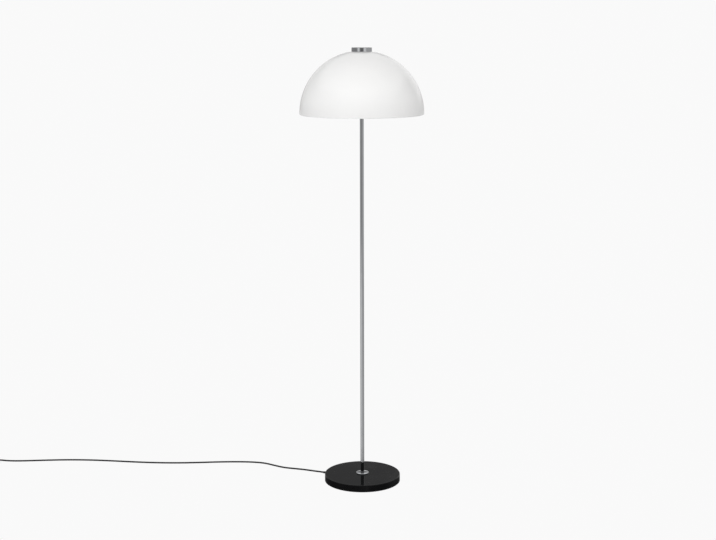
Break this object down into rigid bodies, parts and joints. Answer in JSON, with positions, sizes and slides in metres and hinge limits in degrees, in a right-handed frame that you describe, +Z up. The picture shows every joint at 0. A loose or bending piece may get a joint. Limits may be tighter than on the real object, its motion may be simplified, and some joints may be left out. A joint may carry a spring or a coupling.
{
  "type": "floor lamp",
  "caption": "Mushroom floor lamp: opal hemispherical shade on a slim chrome tube, heavy round gloss black base, screw-on cap, bulbs in radial holders, cord with foot switch and plug.",
  "frame": {"origin": "centre of the round base at floor level; x and y lie on the lamp's own axis", "axes": "+Z up along the lamp's tube, +Y away from the side that the picture shows, +X to its right; the cord leaves the base towards -X and +Y"},
  "size_m": [1.6795, 0.432, 1.437],
  "materials": {
    "chrome": "polished chrome plate",
    "black_gloss": "gloss black enamel",
    "opal": "glossy opal white acrylic, light passes through",
    "bulb_opal": "frosted opal globe, lit",
    "white_plastic": "moulded white plastic",
    "porcelain": "glazed white porcelain",
    "zinc": "zinc-plated steel",
    "nickel": "nickel-plated",
    "brass": "plain brass",
    "iron": "as-cast, grey",
    "felt": "dense black felt",
    "silicone": "translucent soft ring",
    "nylon": "natural nylon",
    "black_pvc": "satin black flexible sheath",
    "lead_sleeve": "thin insulating sleeve",
    "black_plastic": "fine-grained black moulding",
    "black_button": "smooth satin black moulding"
  },
  "bodies": {
    "stand": {"base_bottom_plate": "zinc", "base_cover": "black_gloss", "base_foot_pad": "felt", "base_plate_screws": "zinc", "base_terminal_block": "white_plastic", "base_weight": "iron", "bottom_nipple": "zinc", "bottom_washer": "zinc", "centre_contacts": "brass", "cluster_body": "nickel", "cluster_cover": "nickel", "cluster_cover_screws": "zinc", "cluster_terminal_block": "porcelain", "coil_tie": "black_plastic", "cord_clamp": "black_plastic", "cord_clamp_screws": "zinc", "cord_coil": "black_pvc", "cord_end": "black_pvc", "cord_gland": "black_pvc", "cord_run": "black_pvc", "cord_tail": "black_pvc", "dome_shade": "opal", "footswitch_base": "black_plastic", "footswitch_boots": "black_pvc", "footswitch_cover": "black_plastic", "footswitch_leads": "black_pvc", "footswitch_mechanism": "white_plastic", "footswitch_screws": "zinc", "holder_caps": "white_plastic", "holder_inserts": "porcelain", "holder_leads": "lead_sleeve", "holder_nipples": "zinc", "holder_skirts": "white_plastic", "inner_lead": "lead_sleeve", "mains_cord_inner": "black_pvc", "nipple_nuts": "zinc", "plug_body": "black_plastic", "plug_pins": "nickel", "pole_flange": "chrome", "pole_top_nipple": "zinc", "pole_tube": "chrome", "screw_shells": "brass", "shade_gasket_lower": "silicone", "shade_gasket_upper": "silicone", "shade_seat": "nickel", "stem_upper": "zinc"},
    "cap_washer": {"cap_slip_washer": "nylon"},
    "cap": {"cap": "chrome", "cap_bush": "brass"},
    "switch_button": {"footswitch_button": "black_button", "footswitch_plunger": "white_plastic"},
    "bulb_1": {"bulb_globe_1": "bulb_opal", "bulb_collar_1": "white_plastic", "bulb_screw_cap_1": "nickel"},
    "bulb_2": {"bulb_globe_2": "bulb_opal", "bulb_collar_2": "white_plastic", "bulb_screw_cap_2": "nickel"},
    "bulb_3": {"bulb_globe_3": "bulb_opal", "bulb_collar_3": "white_plastic", "bulb_screw_cap_3": "nickel"}
  },
  "joints": [
    {"name": "cap_rise", "type": "slide", "parent": "stand", "child": "cap_washer", "axis": [0, 0, 1], "range_m": [0, 0.0057]},
    {"name": "cap_turn", "type": "hinge", "parent": "cap_washer", "child": "cap", "pos_m": [0, 0, 1.431], "axis": [0, 0, 1], "range_deg": [0, 2052]},
    {"name": "switch_press", "type": "slide", "parent": "stand", "child": "switch_button", "axis": [0, 0, -1], "range_m": [0, 0.0035], "stiffness_N_per_m": 600, "springref_m": -0.003},
    {"name": "bulb_turn_1", "type": "hinge", "parent": "stand", "child": "bulb_1", "pos_m": [0, -0.06, 1.2945], "axis": [0, -1, 0], "range_deg": [0, 900]},
    {"name": "bulb_turn_2", "type": "hinge", "parent": "stand", "child": "bulb_2", "pos_m": [0.05196, 0.03, 1.2945], "axis": [0.866, 0.5, 0], "range_deg": [0, 900]},
    {"name": "bulb_turn_3", "type": "hinge", "parent": "stand", "child": "bulb_3", "pos_m": [-0.05196, 0.03, 1.2945], "axis": [-0.866, 0.5, 0], "range_deg": [0, 900]}
  ],
  "couplings": [
    {"joint": "cap_rise", "follows": "cap_turn", "m_per_rad": 0.00015915}
  ]
}
